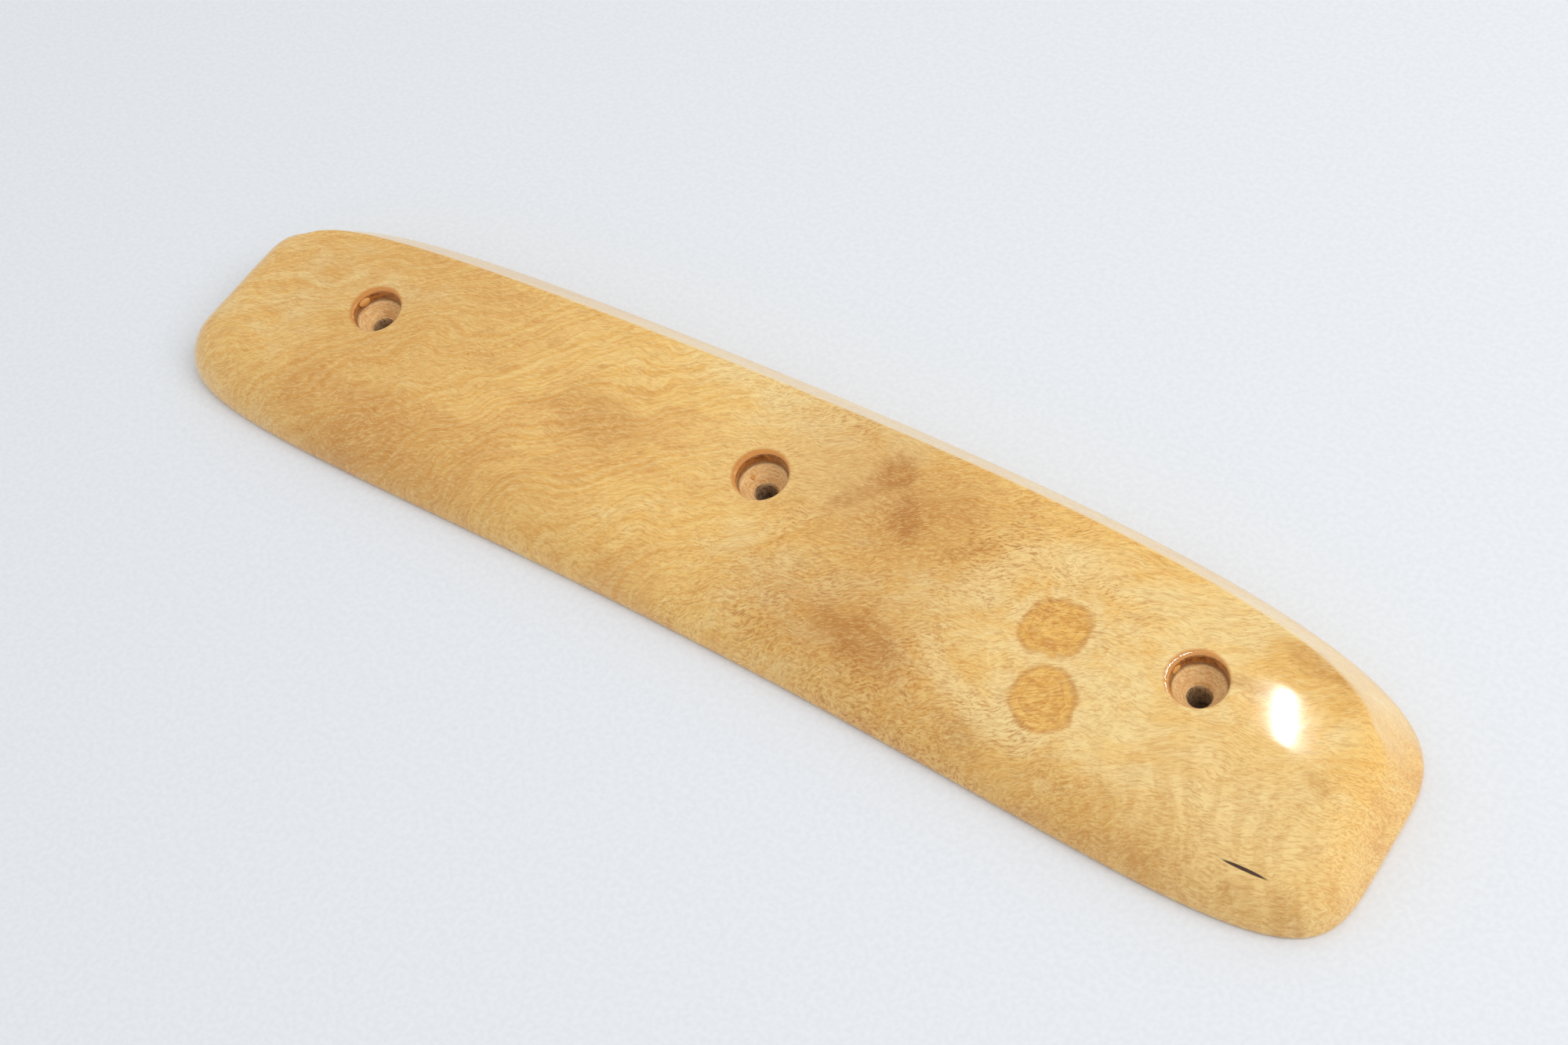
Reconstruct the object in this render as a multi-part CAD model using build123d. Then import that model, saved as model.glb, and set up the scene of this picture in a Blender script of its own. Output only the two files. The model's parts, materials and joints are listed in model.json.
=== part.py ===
from build123d import *
import math
import os

# Long gently bent wooden board, screwed down through three stepped holes.
# +X runs along the board, +Y points to its convex back edge, +Z is up.
# The origin is in the middle of the flat underside. All sizes are in millimetres.

# Outline of the underside
board_length = 286.4            # from end to end
board_width = 64.8              # between the two long edges, at the middle
back_y = 34.94                  # the back edge's crest, from the length axis
edge_radius = 1500.0            # of both long edges, which bend the same way
end_bow = 2.9                   # how far each end bulges
end_swing = 1.0                 # how far the back edge runs lower at the right than at the left
back_left_round = 30.0          # the outline's four corners
back_right_round = 33.0
front_left_round = 27.0
front_right_round = 28.0

# Section
board_thickness = 15.8          # at the highest line
crown_radius = 186.0            # across the board
crown_line = 15.0               # where the highest line runs, towards the back
arch_radius = 12000.0           # along the board
shoulder_radius = 10.5          # rounding of the front and end edges
flank_slope = 51.3              # lean of the flat back flank, degrees from level
left_turn = 55.0                # how far the flank follows the left back corner, in degrees
right_turn = 22.0               # the same, at the right
foot_land = 1.4                 # upright strip under the back flank
base_round = 0.7                # softened edge of the underside

# Screw holes
hole_places = [(-98.6, 0.3), (3.8, 2.1), (101.4, 0.8)]     # left, middle and right
bore_radius = 4.75              # counterbore for the screw head
bore_depth = 2.0                # down to where the coned floor starts
screw_radius = 2.25
cone_drop = 3.6                 # height of the coned floor
mouth_round = 1.25              # eased edge of each counterbore

half_length = board_length / 2
front_y = back_y - board_width


def fall(x):
    """How far a long edge falls towards the front, x away from the middle."""
    return edge_radius - math.sqrt(edge_radius**2 - x**2) + end_swing * x / half_length


def outline():
    """Flat outline of the underside: four arcs joined by rounded corners."""
    end_x = half_length - end_bow
    back_left, back_right = (-end_x, back_y - fall(-end_x)), (end_x, back_y - fall(end_x))
    front_left, front_right = (-end_x, front_y - fall(-end_x)), (end_x, front_y - fall(end_x))
    end_middle = (back_y + front_y) / 2 - fall(end_x)
    edges = Curve() + [
        ThreePointArc(back_left, (0, back_y), back_right),
        ThreePointArc(back_right, (half_length, end_middle), front_right),
        ThreePointArc(front_right, (0, front_y), front_left),
        ThreePointArc(front_left, (-half_length, end_middle), back_left),
    ]
    face = make_face(edges)
    corners = [
        (back_left, back_left_round),
        (back_right, back_right_round),
        (front_left, front_left_round),
        (front_right, front_right_round),
    ]
    for place, radius in corners:
        vertex = face.vertices().sort_by_distance((place[0], place[1], 0))[0]
        face = fillet(vertex, radius)
    return face


def crown():
    """Everything under the top surface, which is arched across and, slightly, along."""
    reach = board_width
    side_z = board_thickness - crown_radius + math.sqrt(crown_radius**2 - reach**2)
    left, right = crown_line - reach, crown_line + reach
    section = Plane.YZ * make_face(
        Curve() + [
            ThreePointArc((left, side_z), (crown_line, board_thickness), (right, side_z)),
            Polyline((right, side_z), (right, -5), (left, -5), (left, side_z)),
        ]
    )
    axis = Axis((0, 0, board_thickness - arch_radius), (0, 1, 0))
    sweep = math.degrees((half_length + 20) / arch_radius)
    return revolve(section.rotate(axis, -sweep), axis, 2 * sweep)


def back_curve(inset, height):
    """Face behind which the back of the board is cut away, with its back edge moved in by inset."""
    edges = outline().edges()
    back = max(edges, key=lambda edge: (edge @ 0.5).Y)
    left = min(edges, key=lambda edge: abs(edge.radius - back_left_round))
    right = min(edges, key=lambda edge: abs(edge.radius - back_right_round))
    points, corners = [], []
    for side, corner, turn in ((-1, left, left_turn), (1, right, right_turn)):
        centre = corner.arc_center
        radius = corner.radius - inset
        out = (centre - back.arc_center).normalized()
        start = math.degrees(math.asin(abs(out.X)))
        stops = [math.radians(start), math.radians((start + turn) / 2), math.radians(turn)]
        arc = [centre + Vector(side * math.sin(stop), math.cos(stop)) * radius for stop in stops]
        run = Vector(side * math.cos(stops[2]), -math.sin(stops[2])) * board_width
        corners.append(ThreePointArc(*arc))
        corners.append(Line(arc[2], arc[2] + run))
        points.append((arc[0], arc[2] + run))
    middle = back.arc_center + Vector(0, back.radius - inset)
    low = -2 * board_width
    front = Polyline(points[0][1], (-2 * half_length, low), (2 * half_length, low), points[1][1])
    line = Curve() + [ThreePointArc(points[0][0], middle, points[1][0]), front] + corners
    return Pos(0, 0, height) * make_face(line)


def back_flank():
    """Everything in front of the leaning flank, which turns with the back corners."""
    top = board_thickness + 4
    inset = (top - foot_land) / math.tan(math.radians(flank_slope))
    lean = loft([back_curve(0, foot_land), back_curve(inset, top)], ruled=True)
    foot = extrude(back_curve(0, -2), foot_land + 2)
    return lean + foot


def blank():
    """The bent bar with its rounded shoulders and back flank, before drilling."""
    bar = extrude(outline(), board_thickness + 5) & crown()
    rims = [edge for edge in bar.edges() if edge.bounding_box().min.Z > board_thickness / 2]
    bar = fillet(rims, shoulder_radius)
    soles = bar.faces().sort_by(Axis.Z)[0].edges()
    bar = fillet(soles, base_round)
    return bar & back_flank()


def hole_cutter(top):
    """Counterbore with a coned floor and a plain screw hole, mouth at height top."""
    floor = top - bore_depth
    screw_top = floor - cone_drop
    profile = Polyline(
        (0, -1),
        (screw_radius, -1),
        (screw_radius, screw_top),
        (bore_radius, floor),
        (bore_radius, top + 6),
        (0, top + 6),
        close=True,
    )
    return revolve(Plane.XZ * make_face(profile), Axis.Z)


def surface_height(bar, x, y):
    """Height of the top surface over one point of the underside."""
    probe = Pos(x, y, 0) * Cylinder(0.05, 60, align=(Align.CENTER, Align.CENTER, Align.MIN))
    return (bar & probe).bounding_box().max.Z


def is_mouth(edge):
    """True for the edge where a counterbore breaks the top surface."""
    box = edge.bounding_box()
    reach = bore_radius + 0.5
    near = any(
        abs(box.center().X - x) < 1 and abs(box.center().Y - y) < 1 and box.size.X < 2 * reach
        for x, y in hole_places
    )
    return near and box.min.Z > board_thickness - bore_depth


def board():
    """The finished piece: the blank with its three stepped holes."""
    piece = blank()
    for x, y in hole_places:
        top = surface_height(piece, x, y)
        piece -= Pos(x, y, 0) * hole_cutter(top)
    mouths = [edge for edge in piece.edges() if is_mouth(edge)]
    return fillet(mouths, mouth_round)


os.makedirs("parts", exist_ok=True)
piece = board()
piece.label = "board"
export_step(piece, "parts/board.step")
box = piece.bounding_box()
print("board", "volume", round(piece.volume), "size", box.size, "centre", box.center())
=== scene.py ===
import json
import math

import bpy
import numpy as np
from mathutils import Matrix, Vector


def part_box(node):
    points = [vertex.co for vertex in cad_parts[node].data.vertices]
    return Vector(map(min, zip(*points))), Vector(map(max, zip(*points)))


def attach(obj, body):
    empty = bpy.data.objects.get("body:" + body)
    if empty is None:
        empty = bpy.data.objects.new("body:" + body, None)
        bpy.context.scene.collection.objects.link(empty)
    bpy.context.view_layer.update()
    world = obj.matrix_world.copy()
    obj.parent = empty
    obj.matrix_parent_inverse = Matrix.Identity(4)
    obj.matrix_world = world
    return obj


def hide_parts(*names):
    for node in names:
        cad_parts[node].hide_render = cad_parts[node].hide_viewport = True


# Looks of a bent, lacquered board of figured wood with three stepped screw holes.
# The frame is in metres: +X runs along the board, +Y to its convex back edge, +Z is up.
# Sizes in the dictionaries are in millimetres and angles in degrees.
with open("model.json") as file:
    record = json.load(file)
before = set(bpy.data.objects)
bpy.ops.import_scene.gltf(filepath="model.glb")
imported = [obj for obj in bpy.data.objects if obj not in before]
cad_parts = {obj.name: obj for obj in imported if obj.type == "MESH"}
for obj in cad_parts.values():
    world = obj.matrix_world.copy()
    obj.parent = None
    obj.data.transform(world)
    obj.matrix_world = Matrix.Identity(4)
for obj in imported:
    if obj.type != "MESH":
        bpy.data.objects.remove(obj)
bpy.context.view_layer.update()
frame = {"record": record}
mm = 0.001
boxLow, boxHigh = [np.array(corner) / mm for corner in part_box("board")]
holes = [np.array(mount["pos_m"]) / mm for mount in frame["record"]["mounts"] if mount["kind"] == "bore"]
print("frame loaded, board box in mm", boxLow.round(2), boxHigh.round(2))


# Shape of the board

board = {
    "endGap": 0.92,          # the sole's ends stop this far inside the frame's box
    "shiftX": 0.07,          # of the sole's middle
    "shiftY": 2.28,
    "halfWidth": 32.44,
    "bend": 6.34,           # fall of both long edges at the ends
    "swing": 1.8,           # the right end falls this much more
    "taper": 0.028,
    "squareness": {"backLeft": 5.6, "frontLeft": 5.6, "backRight": 4.25, "frontRight": 5.1},
    "height": 14.93,        # on the length axis
    "crossFall": 3.0,       # parabola across the width
    "crossTilt": 3.1,       # rise towards the back
    "lengthFall": 0.5,
    "shoulder": 14.8,       # depth of the rounded front and ends
    "soleRound": 0.7,
    "land": 1.5,            # upright strip under the back flank
    "flankSlope": {"left": 49.4, "right": 54.4},
    "flankReach": 13.6,     # from the back edge to where the top takes over
    "flankFrom": -0.4,      # the flank fades in as the edge turns to face the back
    "flankFade": 0.95,
    "arris": 0.16,          # softness of the line between top and flank
    "columns": 720,         # around the sole, an even number
    "underRows": 5,
    "soleRows": 4,
    "sideRows": 30,
    "topRows": 26,
    "spine": 0.76,          # length of the line where the top's rows end
}

halfLength = (boxHigh[0] - boxLow[0]) / 2 - board["endGap"]


def smooth(value):
    # Eased step from 0 to 1: three squares less two cubes.
    value = np.clip(value, 0, 1)
    return value * value * (3 - 2 * value)


def middleLine(x):
    # The board's bent middle line: a parabola plus a small cube, so one end falls more.
    part = (x - board["shiftX"]) / halfLength
    return board["shiftY"] - board["bend"] * part**2 - board["swing"] * part**3


def topHeight(x, y):
    # Top of the board: a level less parabolas along and across, plus a tilt to the back.
    along = (x - board["shiftX"]) / halfLength
    across = (y - middleLine(x)) / board["halfWidth"]
    level = board["height"] - board["lengthFall"] * along**2
    return level - board["crossFall"] * across**2 + board["crossTilt"] * across


def ringPlace(part, rise, inset):
    # Place on the outline, or on a ring inset millimetres inside it. part and rise, from -1 to 1,
    # say how far out the place lies along the board and across it. Rings bend with the board.
    x = board["shiftX"] + (halfLength - inset) * part
    reach = board["halfWidth"] * (1 + board["taper"] * part) - inset
    return x, middleLine(x) + reach * rise


def halfOutline(side, count):
    # Rounded rectangle as powers of cosine and sine, from the right end over one long side to the
    # left end, respaced to even steps along its length. side is 1 for the back and -1 for the front.
    turn = np.linspace(0, math.pi, 6001)
    turn = turn - np.sin(4 * turn) / 4
    cosine, sine = np.cos(turn), np.sin(turn)
    edge = "back" if side > 0 else "front"
    square = np.where(cosine > 0, board["squareness"][edge + "Right"], board["squareness"][edge + "Left"])
    part = np.sign(cosine) * np.abs(cosine) ** (2 / square)
    rise = side * np.abs(sine) ** (2 / square)
    x, y = ringPlace(part, rise, 0)
    run = np.concatenate([[0], np.cumsum(np.hypot(np.diff(x), np.diff(y)))])
    even = np.linspace(0, run[-1], count + 1)
    return np.stack([np.interp(even, run, values) for values in (part, rise)])


def soleOutline():
    # Both halves joined, running left over the back and right over the front, and how far the
    # outline faces the back at each place.
    half = board["columns"] // 2
    part, rise = np.concatenate([halfOutline(1, half), halfOutline(-1, half)[:, -2:0:-1]], axis=1)
    x, y = ringPlace(part, rise, 0)
    stepX = np.roll(x, -1) - np.roll(x, 1)
    stepY = np.roll(y, -1) - np.roll(y, 1)
    facing = -stepX / np.hypot(stepX, stepY)
    for _ in range(3):      # evens out the facing where two powers meet
        facing = (np.roll(facing, 1) + 2 * facing + np.roll(facing, -1)) / 4
    return part, rise, facing


def towards(spineX, ring, step):
    # Places a share of the way from the spine on the middle line out to a ring.
    x = spineX + step * (ring[0] - spineX)
    return x, middleLine(x) + step * (ring[1] - middleLine(ring[0]))


def boardGrid():
    # Rows of points from the sole's middle line, out and round the side, and in over the top.
    part, rise, facing = soleOutline()
    columns = board["columns"]
    index = np.arange(columns)
    along = 1 - 2 * np.minimum(index, columns - index) / (columns / 2)
    spineX = board["shiftX"] + board["spine"] * halfLength * along

    # At the front the side rises with the root of one less a cube, that of the share of the way in
    # still to go, so it meets the top without a change of bend. At the back it is a leaning plane.
    backness = smooth((facing - board["flankFrom"]) / board["flankFade"])
    step = np.linspace(0, 1, board["sideRows"])[:, None]
    sole = board["soleRound"]
    turn = step * math.pi / 2
    frontIn = board["shoulder"] * (1 - np.cos(turn)) * np.ones(columns)
    frontTop = topHeight(*ringPlace(part, rise, frontIn))
    frontZ = sole + (frontTop - sole) * np.sqrt(1 - np.cos(turn) ** 3)
    reach = board["flankReach"]
    backIn = reach * np.interp(step, [0, 0.03, 0.4, 0.85, 1], [0, 0, 0.76, 0.92, 1]) * np.ones(columns)
    backTop = topHeight(*ringPlace(part, rise, backIn))
    foot = sole + (board["land"] - sole) * np.minimum(step / 0.03, 1)
    ends = [math.tan(math.radians(board["flankSlope"][name])) for name in ("left", "right")]
    lean = np.interp(part, [-1, 1], ends)
    soft = board["arris"]
    backZ = -soft * np.logaddexp(-backTop / soft, -(foot + backIn * lean) / soft)
    side = ringPlace(part, rise, frontIn + backness * (backIn - frontIn))
    sideZ = frontZ + backness * (backZ - frontZ)

    turn = np.linspace(0, math.pi / 2, board["soleRows"] + 1)[:-1, None]
    foot = ringPlace(part, rise, sole * (1 - np.sin(turn)) * np.ones(columns))
    footZ = sole * (1 - np.cos(turn)) * np.ones(columns)

    step = np.linspace(0, 1, board["underRows"] + 1)[:-1, None]
    under = towards(spineX, (foot[0][0], foot[1][0]), step)
    step = np.linspace(1, 0, board["topRows"] + 1)[1:, None]
    top = towards(spineX, (side[0][-1], side[1][-1]), step)
    rows = [(*under, 0 * under[0]), (*foot, footZ), (*side, sideZ), (*top, topHeight(*top))]
    return np.concatenate([np.stack(row, -1) for row in rows])


def meshPiece(name, points, faces):
    # Points are in millimetres. Faces is a list of arrays, each with one face in a row.
    mesh = bpy.data.meshes.new(name)
    mesh.from_pydata((points * mm).tolist(), [], [face for group in faces for face in group.tolist()])
    mesh.validate()
    mesh.shade_smooth()
    piece = bpy.data.objects.new(name, mesh)
    bpy.context.scene.collection.objects.link(piece)
    return piece


def makeBoard():
    # The grid closed on itself, its first and last rows folded together along the middle line.
    grid = boardGrid()
    rows, columns = grid.shape[:2]
    number = np.arange(rows * columns).reshape(rows, columns)
    column = np.arange(columns)
    folded = np.minimum(column, columns - column)
    number[0] = number[0, folded]
    number[-1] = number[-1, folded]
    ahead = np.roll(number, -1, axis=1)
    quads = np.stack([number[:-1], ahead[:-1], ahead[1:], number[1:]], -1).reshape(-1, 4)
    used, packed = np.unique(quads, return_inverse=True)
    return meshPiece("figuredBoard", grid.reshape(-1, 3)[used], [packed.reshape(-1, 4)])


# Screw holes

hole = {
    "boreRadius": 5.3,
    "boreDepth": 2.0,       # from the surface to the coned floor's rim
    "coneDrop": 3.6,
    "screwRadius": 2.25,
    "easedEdge": 0.7,
    "sides": 128,
}
wallSlot, coneSlot, screwSlot = 1, 2, 3


def holeCutter(name, place):
    # Profile turned round the hole's axis. Its upper points follow the board's top, so the eased
    # edge, a quarter circle, is equally wide all round.
    x, y = place[0], place[1]
    angle = np.arange(hole["sides"]) / hole["sides"] * 2 * math.pi
    bore, eased, screw = hole["boreRadius"], hole["easedEdge"], hole["screwRadius"]
    floor = topHeight(x, y) - hole["boreDepth"]
    screwTop = floor - hole["coneDrop"]
    low = [(screw, z) for z in np.linspace(-2, screwTop - 0.3, 14)]
    low += [(screw + 0.06, screwTop - 0.08), (screw + 0.22, screwTop + 0.08)]
    cone = np.linspace(screw + 0.45, bore - 0.15, 12)
    low += [(r, screwTop + (r - screw) / (bore - screw) * hole["coneDrop"]) for r in cone]
    low += [(bore, floor + 0.12)]
    radius = np.array([point[0] for point in low])[:, None] * np.ones(hole["sides"])
    height = np.array([point[1] for point in low])[:, None] * np.ones(hole["sides"])
    turn = np.linspace(0, math.pi / 2, 13)[:, None]
    easeRadius = bore + eased * (1 - np.cos(turn)) * np.ones(hole["sides"])
    drop = eased * (1 - np.sin(turn))
    top = topHeight(x + easeRadius * np.cos(angle), y + easeRadius * np.sin(angle)) - drop
    top[-1] += 0.004
    skyRadius = np.full((1, hole["sides"]), bore + eased + 0.4)
    sky = np.full((1, hole["sides"]), board["height"] + 4)
    radius = np.concatenate([radius, easeRadius, skyRadius])
    height = np.concatenate([height, top, sky])
    points = np.stack([x + radius * np.cos(angle), y + radius * np.sin(angle), height], -1)
    rows = len(points)
    number = np.arange(rows * hole["sides"]).reshape(rows, -1)
    ahead = np.roll(number, -1, axis=1)
    quads = np.stack([number[:-1], ahead[:-1], ahead[1:], number[1:]], -1).reshape(-1, 4)
    cutter = meshPiece(name, points.reshape(-1, 3), [quads, number[:1, ::-1], number[-1:]])
    # Profile bands on each slot, from below; the outer part of the eased edge stays with the board.
    bands = {screwSlot: 15, coneSlot: 13, wallSlot: 6, 0: 8}
    slots = np.repeat(np.repeat(list(bands), list(bands.values())), hole["sides"])
    slots = np.concatenate([slots, [0, 0]])
    cutter.data.polygons.foreach_set("material_index", slots.astype(np.int32))
    return cutter


# Drops and runs of lacquer left at the holes: the hole from the left, where on it, how deep, and
# half sizes outwards, round the hole and upwards.
drops = [
    {"hole": 0, "turn": 168, "out": 4.95, "under": 1.0, "size": (0.7, 1.5, 0.8)},
    {"hole": 0, "turn": 192, "out": 5.65, "under": 0.3, "size": (0.35, 0.55, 0.3)},
    {"hole": 0, "turn": 208, "out": 5.8, "under": 0.25, "size": (0.3, 0.4, 0.28)},
    {"hole": 0, "turn": 222, "out": 5.6, "under": 0.3, "size": (0.35, 0.6, 0.3)},
    {"hole": 1, "turn": 196, "out": 5.8, "under": 0.22, "size": (0.35, 0.9, 0.25)},
    {"hole": 1, "turn": 165, "out": 3.9, "under": 3.9, "size": (0.7, 0.5, 0.3)},
    {"hole": 2, "turn": 200, "out": 5.8, "under": 0.2, "size": (0.3, 1.3, 0.22)},
    {"hole": 2, "turn": 172, "out": 5.1, "under": 1.0, "size": (0.45, 1.2, 0.6)},
]


def lacquerDrops():
    # Flattened balls, each a turned half circle closed at both poles by a small flat cap.
    rows, columns, cap = 14, 28, 0.12
    down = np.linspace(cap, math.pi - cap, rows)[:, None]
    around = np.arange(columns) / columns * 2 * math.pi
    ball = [np.sin(down) * np.cos(around), np.sin(down) * np.sin(around), np.cos(down) + 0 * around]
    ball = np.stack(ball, -1)
    number = np.arange(rows * columns).reshape(rows, columns)
    ahead = np.roll(number, -1, axis=1)
    quads = np.stack([number[:-1], number[1:], ahead[1:], ahead[:-1]], -1).reshape(-1, 4)
    points, faces = [], []
    for count, drop in enumerate(drops):
        turn = math.radians(drop["turn"])
        outward = np.array([math.cos(turn), math.sin(turn)])
        aside = np.array([-outward[1], outward[0]])
        size = drop["size"]
        middle = holes[drop["hole"]][:2] + drop["out"] * outward
        flat = middle + ball[..., :1] * size[0] * outward + ball[..., 1:2] * size[1] * aside
        height = topHeight(*middle) - drop["under"] + ball[..., 2:] * size[2]
        points.append(np.concatenate([flat, height], -1).reshape(-1, 3))
        start = count * number.size
        faces += [quads + start, number[:1] + start, number[-1:, ::-1] + start]
    return meshPiece("lacquerDrops", np.concatenate(points), faces)


def drill(piece, cutters):
    for cutter in cutters:
        cut = piece.modifiers.new("drill", "BOOLEAN")
        cut.operation = "DIFFERENCE"
        cut.solver = "EXACT"
        cut.material_mode = "INDEX"
        cut.object = cutter
    graph = bpy.context.evaluated_depsgraph_get()
    drilled = bpy.data.meshes.new_from_object(piece.evaluated_get(graph))
    piece.modifiers.clear()
    old = piece.data
    piece.data = drilled
    drilled.name = piece.name
    bpy.data.meshes.remove(old)
    for cutter in cutters:
        bpy.data.objects.remove(cutter)
    drilled.shade_smooth()
    drilled.set_sharp_from_angle(angle=math.radians(38))


def markFlank(piece):
    # Stores at each point how far it faces the back, eased: 0 on top and in front, 1 on the flank.
    mesh = piece.data
    normals = np.zeros(len(mesh.vertices) * 3)
    mesh.vertices.foreach_get("normal", normals)
    flank = mesh.attributes.new("flank", "FLOAT", "POINT")
    flank.data.foreach_set("value", smooth((normals[1::3] - 0.35) / 0.25).astype(np.float32))


# Node helpers

def tint(red, green, blue):
    # A screen colour from 0 to 255 as linear light.
    part = np.array([red, green, blue]) / 255
    linear = np.where(part <= 0.04045, part / 12.92, ((part + 0.055) / 1.055) ** 2.4)
    return (*linear.tolist(), 1.0)


def feed(tree, socket, value):
    if isinstance(value, bpy.types.NodeSocket):
        tree.links.new(value, socket)
    elif value is not None:
        socket.default_value = value


def addNode(tree, kind, values=(), output=0, **settings):
    node = tree.nodes.new("ShaderNode" + kind)
    for name, setting in settings.items():
        setattr(node, name, setting)
    pairs = values.items() if isinstance(values, dict) else enumerate(values)
    for name, value in pairs:
        feed(tree, node.inputs[name], value)
    return node.outputs[output]


def calc(tree, operation, *values):
    return addNode(tree, "Math", values, operation=operation)


def ramp(tree, value, start, end, low=0.0, high=1.0):
    values = {"Value": value, "From Min": start, "From Max": end, "To Min": low, "To Max": high}
    return addNode(tree, "MapRange", values, interpolation_type="SMOOTHSTEP")


def blend(tree, amount, first, second, kind="MIX"):
    node = tree.nodes.new("ShaderNodeMix")
    node.data_type = "RGBA"
    node.blend_type = kind
    for socket, value in ((node.inputs[0], amount), (node.inputs[6], first), (node.inputs[7], second)):
        feed(tree, socket, value)
    return node.outputs[2]


def noise(tree, place, scale, detail=3.0, rough=0.5, warp=0.0, output=0):
    values = {"Vector": place, "Scale": scale, "Detail": detail, "Roughness": rough, "Distortion": warp}
    return addNode(tree, "TexNoise", values, output=output)


def turned(tree, place, turn=0.0, centre=(0, 0, 0), size=(1, 1, 1)):
    # Places and sizes in millimetres: the result is 1 at the given size away from the centre.
    values = {
        "Vector": place,
        "Location": [value * mm for value in centre],
        "Rotation": (0, 0, math.radians(turn)),
        "Scale": [value * mm for value in size],
    }
    return addNode(tree, "Mapping", values, vector_type="TEXTURE")


def roundDistance(tree, place, spot):
    # Distance from a spot's middle, 1 at its edge, seen from above.
    flat = turned(tree, place, spot.get("turn", 0), (*spot["at"], 0), (*spot["size"], 1e7))
    return addNode(tree, "VectorMath", [flat], output=1, operation="LENGTH")


def patch(tree, place, spot, soft=0.6):
    return ramp(tree, roundDistance(tree, place, spot), 1.0 + soft, 1.0 - soft)


def newMaterial(name):
    material = bpy.data.materials.new(name)
    material.use_nodes = True
    tree = material.node_tree
    shader = tree.nodes["Principled BSDF"]
    place = tree.nodes.new("ShaderNodeTexCoord").outputs["Object"]
    return material, tree, shader, place


def newGroup(name, given, made):
    # An empty group with the named sockets, and its two ends inside.
    tree = bpy.data.node_groups.new(name, "ShaderNodeTree")
    for direction, sockets in (("INPUT", given), ("OUTPUT", made)):
        for label, kind in sockets.items():
            tree.interface.new_socket(label, in_out=direction, socket_type="NodeSocket" + kind)
    return tree, tree.nodes.new("NodeGroupInput").outputs, tree.nodes.new("NodeGroupOutput").inputs


def usedGroup(tree, group, values):
    # A group placed in a material with that material's own values.
    node = tree.nodes.new("ShaderNodeGroup")
    node.node_tree = group
    for name, value in values.items():
        feed(tree, node.inputs[name], value)
    return node.outputs[0]


# Effects that several materials share, each a group that is built once

def shiverGroup():
    # A place moved about by noise: the noise's colour less a half, times twice the reach.
    sockets = {"Place": "Vector", "Scale": "Float", "Reach": "Float"}
    tree, given, made = newGroup("shiver", sockets, {"Place": "Vector"})
    wander = noise(tree, given["Place"], given["Scale"], 2.0, 0.5, output=1)
    centred = addNode(tree, "VectorMath", [wander, (0.5, 0.5, 0.5)], operation="SUBTRACT")
    widest = calc(tree, "MULTIPLY", given["Reach"], 2 * mm)
    scaled = addNode(tree, "VectorMath", {0: centred, "Scale": widest}, operation="SCALE")
    feed(tree, made["Place"], addNode(tree, "VectorMath", [given["Place"], scaled], operation="ADD"))
    return tree


def holeDistanceGroup():
    # Distance in millimetres from the nearest hole's axis, or from a line shifted beside it.
    sockets = {"Place": "Vector", "Shift": "Vector"}
    tree, given, made = newGroup("holeDistance", sockets, {"Distance": "Float"})
    shift = addNode(tree, "VectorMath", {0: given["Shift"], "Scale": mm}, operation="SCALE")
    place = addNode(tree, "VectorMath", [given["Place"], shift], operation="SUBTRACT")
    nearest = None
    for spot in holes:
        distance = roundDistance(tree, place, {"at": (spot[0], spot[1]), "size": (1, 1)})
        nearest = distance if nearest is None else calc(tree, "MINIMUM", nearest, distance)
    feed(tree, made["Distance"], nearest)
    return tree


def drillMarksGroup():
    # Rings left by the drill, a little uneven, over fibres cut across: the mean of two noises.
    tree, given, made = newGroup("drillMarks", {"Place": "Vector", "Ring": "Float"}, {"Shade": "Float"})
    shaky = shiver(tree, given["Place"], 700, 0.12)
    height = calc(tree, "MULTIPLY", given["Ring"], mm)
    size = addNode(tree, "CombineXYZ", [2.5 * mm, 2.5 * mm, height])
    flat = addNode(tree, "Mapping", {"Vector": shaky, "Scale": size}, vector_type="TEXTURE")
    rings = noise(tree, flat, 1.0, 3.0, 0.6)
    fibres = noise(tree, turned(tree, given["Place"], 20, size=(0.8, 0.25, 1.5)), 1.0, 3.0, 0.6)
    feed(tree, made["Shade"], calc(tree, "MULTIPLY_ADD", fibres, 0.5, calc(tree, "MULTIPLY", rings, 0.5)))
    return tree


def shiver(tree, place, scale, reach):
    return usedGroup(tree, groups["shiver"], {"Place": place, "Scale": scale, "Reach": reach})


def holeDistance(tree, place, shift=(0, 0)):
    return usedGroup(tree, groups["holeDistance"], {"Place": place, "Shift": (*shift, 0)})


groups = {}
groups["shiver"] = shiverGroup()
groups["holeDistance"] = holeDistanceGroup()
groups["drillMarks"] = drillMarksGroup()
print("shared effects built", len(groups))


# Figured wood

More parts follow.
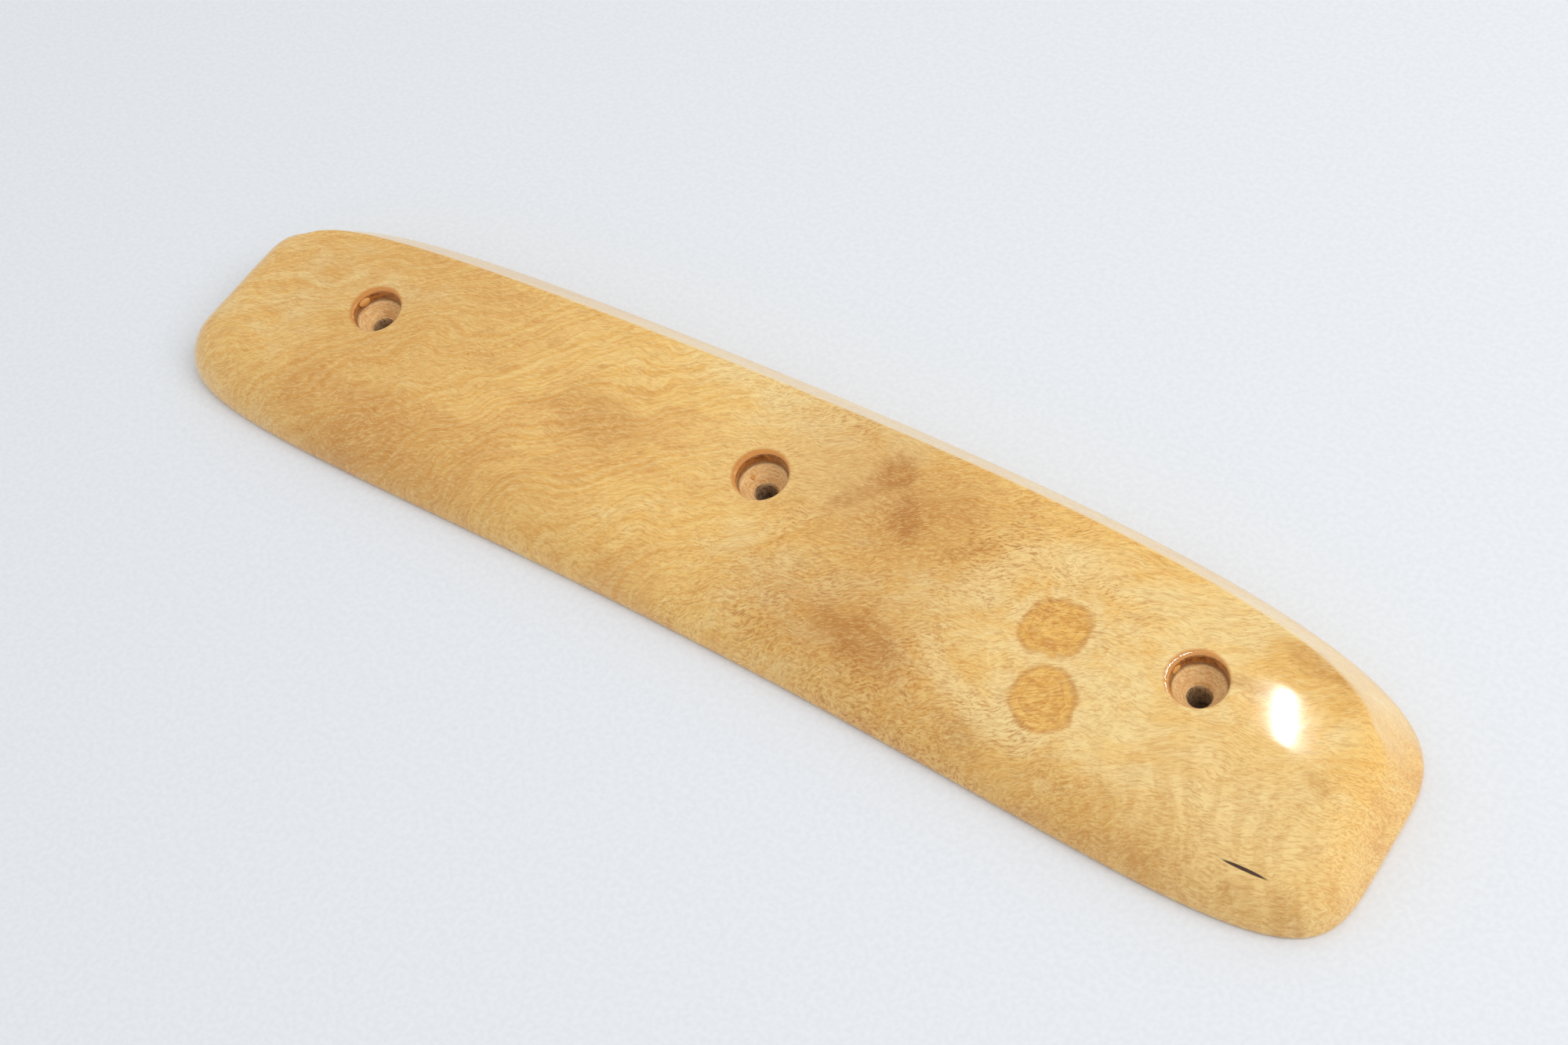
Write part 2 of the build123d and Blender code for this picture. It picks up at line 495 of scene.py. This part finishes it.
wood = {
    "deep": tint(228, 167, 82),
    "middle": tint(249, 198, 106),
    "pale": tint(254, 224, 154),
    "fleckColour": tint(178, 104, 36),
    "smudgeColour": tint(186, 120, 42),
    "rimColour": tint(252, 220, 152),
    "stainColour": tint(204, 122, 34),
    # pale cream painted on the leaning flank as the floor's reflection
    "flankPaintedReflection": tint(252, 234, 190),
    "fleckTurn": 27.0,      # of the short flecks, off the board's length
    "lineTurn": 40.0,       # of the growth lines
    "lineStep": 1.25,
    "swirl": 20.0,
    "gloss": 0.06,
    "coat": 1.0,
    "flankCoat": 0.5,       # thinner lacquer on the leaning flank
    "brownAreas": [
        {"at": (30, 8), "size": (24, 16), "turn": -15, "amount": 0.5},
        {"at": (36, -20), "size": (24, 9), "turn": -4, "amount": 0.5},
        {"at": (-100, 5), "size": (34, 30), "turn": 0, "amount": 0.3},
        {"at": (-70, -26), "size": (40, 9), "turn": 2, "amount": 0.32},
        {"at": (119, 12), "size": (14, 4), "turn": -14, "amount": 0.15},
        {"at": (96, -30), "size": (30, 6), "turn": -4, "amount": 0.25},
    ],
    "eyes": [
        {"at": (73.3, -1.5), "size": (6.3, 6.3)},
        {"at": (77.8, -14.8), "size": (6.6, 5.9)},
    ],
    "paleAreas": [
        {"at": (92, 8), "size": (17, 12), "turn": -20, "amount": 0.1},
        {"at": (58, 2), "size": (9, 3), "turn": 60, "amount": 0.55},
        {"at": (70, 12), "size": (9, 3.5), "turn": 10, "amount": 0.6},
        {"at": (63, -19), "size": (13, 2.2), "turn": -20, "amount": 0.6},
        {"at": (120, -18), "size": (20, 13), "turn": 0, "amount": 0.5},
        {"at": (10, 8), "size": (20, 10), "turn": 10, "amount": 0.35},
    ],
    "smudges": [
        {"at": (28.3, 15.0), "size": (4.6, 3.6), "turn": 60, "amount": 0.85},
        {"at": (24, 7), "size": (7, 2.2), "turn": 50, "amount": 0.5},
        {"at": (35, 6), "size": (6, 2.6), "turn": -50, "amount": 0.75},
        {"at": (50.3, 6.3), "size": (6, 1.6), "turn": 30, "amount": 0.45},
        {"at": (40, -19.5), "size": (10, 4.5), "turn": -8, "amount": 0.75},
        {"at": (66.7, -26.8), "size": (5, 3), "amount": 0.35},
        {"at": (133.5, -28.8), "size": (3.2, 2.2), "amount": 0.45},
        {"at": (124.9, -30.1), "size": (3, 1.5), "amount": 0.4},
        {"at": (129.6, -8.1), "size": (2.8, 2), "amount": 0.3},
        {"at": (110.5, 3.4), "size": (5.5, 1.6), "amount": 0.35},
        {"at": (119, 13.8), "size": (8, 2.2), "turn": -12, "amount": 0.4},
        {"at": (-36, -1), "size": (12, 6), "turn": -10, "amount": 0.32},
        {"at": (-42.3, 9.5), "size": (1.4, 0.7), "turn": 40, "amount": 0.5},
        {"at": (-91, -33), "size": (8, 4), "amount": 0.35},
        {"at": (-71.5, 0), "size": (0.4, 0.4), "amount": 0.9},
    ],
    "curl": {"at": (116, -24), "size": (28, 13), "turn": -8},
    "witness": {"from": (120.4, -26.6), "to": (128.6, -26.2), "width": 0.28},
}


def eyeFigure(tree, place, colour, eye):
    # A round knot: faintly ringed amber with a broken darker edge, in a broken pale halo.
    bent = shiver(tree, shiver(tree, place, 120, 2.0), 420, 0.8)
    distance = roundDistance(tree, bent, eye)
    blotch = noise(tree, bent, 300, 4.0, 0.62)
    rings = addNode(tree, "TexNoise", {"W": distance, "Scale": 5.5, "Detail": 3.0}, noise_dimensions="1D")
    mixed = calc(tree, "MULTIPLY_ADD", rings, 0.5, calc(tree, "MULTIPLY", blotch, 0.5))
    shade = blend(tree, ramp(tree, mixed, 0.34, 0.6), tint(208, 132, 34), tint(246, 187, 80))
    halo = calc(tree, "SUBTRACT", ramp(tree, distance, 0.95, 1.15), ramp(tree, distance, 1.2, 1.7))
    halo = calc(tree, "MULTIPLY", halo, ramp(tree, blotch, 0.4, 0.55, 0.2, 0.75))
    colour = blend(tree, halo, colour, wood["rimColour"])
    colour = blend(tree, ramp(tree, distance, 1.15, 0.8, 0.0, 0.8), colour, shade)
    edge = calc(tree, "SUBTRACT", ramp(tree, distance, 0.75, 0.95), ramp(tree, distance, 0.95, 1.12))
    edge = calc(tree, "MULTIPLY", edge, ramp(tree, blotch, 0.38, 0.6, 0.1, 0.5))
    return blend(tree, edge, colour, wood["smudgeColour"])


def witnessLine(tree, place):
    # A short straight scorched line: its distance is that from a stretched ellipse's axis.
    start, end = [np.array(point) for point in (wood["witness"]["from"], wood["witness"]["to"])]
    middle, reach = (start + end) / 2, end - start
    turn = math.degrees(math.atan2(reach[1], reach[0]))
    spot = {"at": middle.tolist(), "size": (np.hypot(*reach) / 2, wood["witness"]["width"]), "turn": turn}
    return patch(tree, place, spot, 0.25)


def growthLines(tree, place, bent):
    # Contour lines of a slope across the lines, swirled by slow noise and heaped up at each eye.
    turn = math.radians(wood["lineTurn"])
    across = (-math.sin(turn) / wood["lineStep"] / mm, math.cos(turn) / wood["lineStep"] / mm, 0)
    field = addNode(tree, "VectorMath", [bent, across], output=1, operation="DOT_PRODUCT")
    swirl = noise(tree, turned(tree, place, 15, size=(34, 22, 60)), 1.0, 2.0, 0.45)
    field = calc(tree, "MULTIPLY_ADD", swirl, wood["swirl"], field)
    for eye in wood["eyes"]:
        heap = ramp(tree, roundDistance(tree, bent, eye), 2.6, 0.3)
        field = calc(tree, "MULTIPLY_ADD", heap, 9.0, field)
    lines = addNode(tree, "TexNoise", {"W": field, "Scale": 1.0, "Detail": 2.0}, noise_dimensions="1D")
    return ramp(tree, lines, 0.34, 0.66)


def figuredWood():
    material, tree, shader, place = newMaterial("figuredWood")
    bent = shiver(tree, place, 45, 5.0)
    wavy = shiver(tree, bent, 190, 1.0)
    xyz = tree.nodes.new("ShaderNodeSeparateXYZ")
    tree.links.new(place, xyz.inputs[0])

    # Cloudy figure, broad and middling, stretched a little along the board.
    cloud = noise(tree, turned(tree, bent, 8, size=(62, 26, 40)), 1.0, 5.0, 0.55)
    mottle = noise(tree, turned(tree, wavy, 20, size=(9, 4.5, 8)), 1.0, 4.0, 0.6)
    cloud = calc(tree, "MULTIPLY_ADD", calc(tree, "SUBTRACT", mottle, 0.5), 0.55, cloud)
    colour = blend(tree, ramp(tree, cloud, 0.3, 0.52), wood["deep"], wood["middle"])
    colour = blend(tree, ramp(tree, cloud, 0.5, 0.74), colour, wood["pale"])

    lines = growthLines(tree, place, bent)
    clear = ramp(tree, xyz.outputs["X"], 0.06, -0.05, 0.2, 0.3)
    colour = blend(tree, clear, colour, blend(tree, lines, wood["deep"], wood["pale"]))

    for area in wood["brownAreas"]:
        amount = calc(tree, "MULTIPLY", patch(tree, bent, area, 0.8), area["amount"])
        colour = blend(tree, amount, colour, wood["smudgeColour"])
    for area in wood["paleAreas"]:
        amount = calc(tree, "MULTIPLY", patch(tree, bent, area, 0.7), area["amount"])
        colour = blend(tree, amount, colour, wood["rimColour"])
    ragged = shiver(tree, shiver(tree, place, 150, 3.0), 600, 0.9)
    uneven = ramp(tree, noise(tree, wavy, 330, 4.0, 0.65), 0.3, 0.6, 0.35, 1.0)
    for spot in wood["smudges"]:
        cover = calc(tree, "MULTIPLY", patch(tree, ragged, spot, 0.45), spot["amount"])
        colour = blend(tree, calc(tree, "MULTIPLY", cover, uneven), colour, wood["smudgeColour"])

    # Flame stripes across the width.
    stripes = noise(tree, turned(tree, wavy, -62, size=(11, 2.4, 8)), 1.0, 3.0, 0.55)
    stripes = ramp(tree, stripes, 0.4, 0.6)
    flame = calc(tree, "MULTIPLY", patch(tree, bent, wood["curl"], 0.8), 0.2)
    colour = blend(tree, flame, colour, blend(tree, stripes, wood["smudgeColour"], wood["rimColour"]))

    for eye in wood["eyes"]:
        colour = eyeFigure(tree, place, colour, eye)

    # Short wavy flecks, thickest in the middle of the right half.
    fine = turned(tree, wavy, wood["fleckTurn"], size=(1.2, 0.34, 0.7))
    fleck = noise(tree, fine, 1.0, 2.0, 0.55, 0.6)
    density = noise(tree, bent, 60, 3.0, 0.6)
    thick = ramp(tree, xyz.outputs["X"], -0.03, 0.04, 0.35, 1.0)
    thick = calc(tree, "MULTIPLY", thick, ramp(tree, xyz.outputs["X"], 0.075, 0.1, 1.0, 0.45))
    density = calc(tree, "MULTIPLY", ramp(tree, density, 0.35, 0.7, 0.25, 1.0), thick)
    flecks = calc(tree, "MULTIPLY", ramp(tree, fleck, 0.48, 0.66), density)
    colour = blend(tree, calc(tree, "MULTIPLY", flecks, 0.72), colour, wood["fleckColour"])
    gleam = calc(tree, "MULTIPLY", ramp(tree, fleck, 0.5, 0.32), 0.34)
    colour = blend(tree, gleam, colour, wood["rimColour"])
    curly = shiver(tree, wavy, 500, 0.5)
    threads = noise(tree, turned(tree, curly, wood["fleckTurn"] - 9, size=(2.4, 0.3, 0.9)), 1.0, 3.0, 0.6)
    threads = ramp(tree, threads, 0.46, 0.64, 0.0, 0.34)
    colour = blend(tree, threads, colour, wood["smudgeColour"])

    # Painted reflection: the leaning flank is mixed towards a pale cream, paler than the top, standing in
    # for the pale floor mirrored at a grazing angle.
    flank = addNode(tree, "Attribute", output=2, attribute_name="flank")
    colour = blend(tree, calc(tree, "MULTIPLY", flank, 0.35), colour, wood["flankPaintedReflection"])

    # Lacquer has stained the eased edges of the holes.
    ring = ramp(tree, holeDistance(tree, place, (-0.7, 0.4)), 6.4, 5.5, 0.0, 0.8)
    colour = blend(tree, ring, colour, wood["stainColour"])
    line = witnessLine(tree, place)
    colour = blend(tree, line, colour, tint(74, 40, 16))

    # Lacquer: a slow ripple with a little grain showing through.
    ripple = noise(tree, place, 420, 2.0, 0.5)
    grain = noise(tree, fine, 1.0, 1.0, 0.5)
    height = calc(tree, "MULTIPLY_ADD", grain, 0.25, ripple)
    height = calc(tree, "MULTIPLY_ADD", line, -3.0, height)
    bump = addNode(tree, "Bump", {"Strength": 0.35, "Distance": 0.00003, "Height": height})
    feed(tree, shader.inputs["Base Color"], colour)
    feed(tree, shader.inputs["Normal"], bump)
    feed(tree, shader.inputs["Roughness"], ramp(tree, ripple, 0.3, 0.7, 0.30, 0.38))
    feed(tree, shader.inputs["Coat Weight"], ramp(tree, flank, 0, 1, wood["coat"], wood["flankCoat"]))
    shader.inputs["Coat Roughness"].default_value = wood["gloss"]
    shader.inputs["Coat IOR"].default_value = 1.5
    shader.inputs["Specular IOR Level"].default_value = 0.05
    return material


# Cut wood inside the holes

cutWood = {
    # The wall's dark browns are partly the lacquered end grain's own tone and partly painted shade of the
    # bore.
    "wall": {"dark": tint(118, 66, 26), "light": tint(188, 118, 54), "rough": 0.3, "coat": 0.7},
    # The cone's and the screw hole's colours are the raw wood's pale tone raised further as painted light,
    # making up for light that the hole's depth keeps off.
    "cone": {"dark": tint(220, 164, 98), "light": tint(250, 212, 152), "rough": 0.85, "coat": 0.0},
    "screw": {"dark": tint(116, 92, 68), "light": tint(214, 184, 144), "rough": 0.8, "coat": 0.0},
    "ring": {"wall": 0.35, "cone": 0.28, "screw": 0.3},     # height of one drill ring
    "edgeLine": (0.55, 0.1),        # the dark line at the cone's rim, in from the bore
}


def drilledWood(name):
    # One hole surface: the drill's marks, from a dark shade to a light one.
    look = cutWood[name]
    material, tree, shader, place = newMaterial(name + "Wood")
    shade = usedGroup(tree, groups["drillMarks"], {"Place": place, "Ring": cutWood["ring"][name]})
    colour = blend(tree, ramp(tree, shade, 0.36, 0.62), look["dark"], look["light"])
    if name == "cone":      # a dark line where the wall stands on the cone
        start, end = [hole["boreRadius"] - inside for inside in cutWood["edgeLine"]]
        edge = ramp(tree, holeDistance(tree, place), start, end, 0.0, 0.8)
        colour = blend(tree, edge, colour, cutWood["wall"]["dark"])
    bump = addNode(tree, "Bump", {"Strength": 0.5, "Distance": 0.00012, "Height": shade})
    feed(tree, shader.inputs["Base Color"], colour)
    feed(tree, shader.inputs["Normal"], bump)
    feed(tree, shader.inputs["Roughness"], ramp(tree, shade, 0.3, 0.7, look["rough"], look["rough"] - 0.08))
    shader.inputs["Coat Weight"].default_value = look["coat"]
    shader.inputs["Coat Roughness"].default_value = 0.15
    return material


def clearLacquer():
    # Thick drops of the lacquer, amber from the wood that they stand on.
    material, tree, shader, place = newMaterial("clearLacquer")
    cloud = noise(tree, place, 900, 2.0, 0.5)
    feed(tree, shader.inputs["Base Color"], blend(tree, cloud, tint(206, 124, 36), tint(236, 172, 84)))
    shader.inputs["Roughness"].default_value = 0.12
    shader.inputs["Coat Weight"].default_value = 1.0
    shader.inputs["Coat Roughness"].default_value = wood["gloss"]
    return material


# The slots are filled before the drilling, which keeps each cutter's slot numbers.
piece = makeBoard()
for material in (figuredWood(), drilledWood("wall"), drilledWood("cone"), drilledWood("screw")):
    piece.data.materials.append(material)
print("board grid", len(piece.data.polygons), "faces")
drill(piece, [holeCutter("cutter", place) for place in holes])
markFlank(piece)
slots = np.zeros(len(piece.data.polygons), dtype=np.int32)
piece.data.polygons.foreach_get("material_index", slots)
print("board drilled, faces by material", np.bincount(slots))
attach(piece, "root")
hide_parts("board")
beads = lacquerDrops()
beads.data.materials.append(clearLacquer())
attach(beads, "root")
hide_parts("board")
print("materials done")


# Stage: a plain pale floor, soft light all round and one narrow lamp for the highlight

stage = {
    "floor": tint(238, 240, 243),
    "sky": 0.74,
    "softAt": (900, 300, 1000),
    "softSize": 900,
    "softPower": 6.5,
    "lampFrom": (118.1, 1.3, 15.0),     # where its reflection shows on the board
    "lampTowards": (-0.222, 0.353, 0.909),
    "lampDistance": 1200,
    "lampSize": (11, 170),
    "lampPower": 0.42,
}


def plainMaterial(name, colour):
    material, tree, shader, place = newMaterial(name)
    thread = noise(tree, place, 900, 2.0, 0.5)
    shade = ramp(tree, thread, 0.3, 0.7, 0.0, 0.25)
    feed(tree, shader.inputs["Base Color"], blend(tree, shade, colour, (0.7, 0.71, 0.73, 1)))
    shader.inputs["Roughness"].default_value = 0.9
    return material


def addLamp(name, place, aim, size, power):
    data = bpy.data.lights.new(name, "AREA")
    data.shape = "ELLIPSE"
    data.size, data.size_y = size[0] * mm, size[1] * mm
    data.energy = power
    lamp = bpy.data.objects.new(name, data)
    bpy.context.scene.collection.objects.link(lamp)
    lamp.location = Vector(place) * mm
    back = (Vector(place) - Vector(aim)).normalized()
    side = Vector((1, 0, 0)) - back * back.x
    side.normalize()
    lamp.rotation_euler = Matrix((side, back.cross(side), back)).transposed().to_euler()
    return lamp


floorSize = 3000
floorPoints = np.array([[-1, -1, 0], [1, -1, 0], [1, 1, 0], [-1, 1, 0]]) * floorSize - [0, 0, 0.03]
floor = meshPiece("paleFloor", floorPoints, [np.array([[0, 1, 2, 3]])])
floor.data.materials.append(plainMaterial("paleCloth", stage["floor"]))

world = bpy.data.worlds.new("softSky")
bpy.context.scene.world = world
world.use_nodes = True
world.node_tree.nodes["Background"].inputs["Color"].default_value = (0.95, 0.975, 1.0, 1.0)
world.node_tree.nodes["Background"].inputs["Strength"].default_value = stage["sky"]
softSides = (stage["softSize"], stage["softSize"])
softBox = addLamp("softBox", stage["softAt"], (0, 0, 0), softSides, stage["softPower"])
softBox.visible_glossy = False
lampPlace = np.array(stage["lampFrom"]) + stage["lampDistance"] * np.array(stage["lampTowards"])
addLamp("narrowLamp", lampPlace, stage["lampFrom"], stage["lampSize"], stage["lampPower"])
bpy.context.scene.view_settings.view_transform = "Standard"

# Camera

camera = {
    "at": (207.66, -193.1, 362.74),
    "heading": -45.85,      # from the back, clockwise seen from above
    "pitch": -52.23,
    "roll": -14.4,
    "lens": 51.76,
}
heading, pitch, roll = [math.radians(camera[name]) for name in ("heading", "pitch", "roll")]
ahead = Vector((math.cos(pitch) * math.sin(heading), math.cos(pitch) * math.cos(heading), math.sin(pitch)))
level = Vector((math.cos(heading), -math.sin(heading), 0))
upright = level.cross(ahead)
right = level * math.cos(roll) + upright * math.sin(roll)
up = upright * math.cos(roll) - level * math.sin(roll)
cameraData = bpy.data.cameras.new("viewer")
cameraData.lens = camera["lens"]
viewer = bpy.data.objects.new("viewer", cameraData)
bpy.context.scene.collection.objects.link(viewer)
viewer.location = Vector(camera["at"]) * mm
viewer.rotation_euler = Matrix((right, up, -ahead)).transposed().to_euler()
bpy.context.scene.camera = viewer
print("stage and camera done")
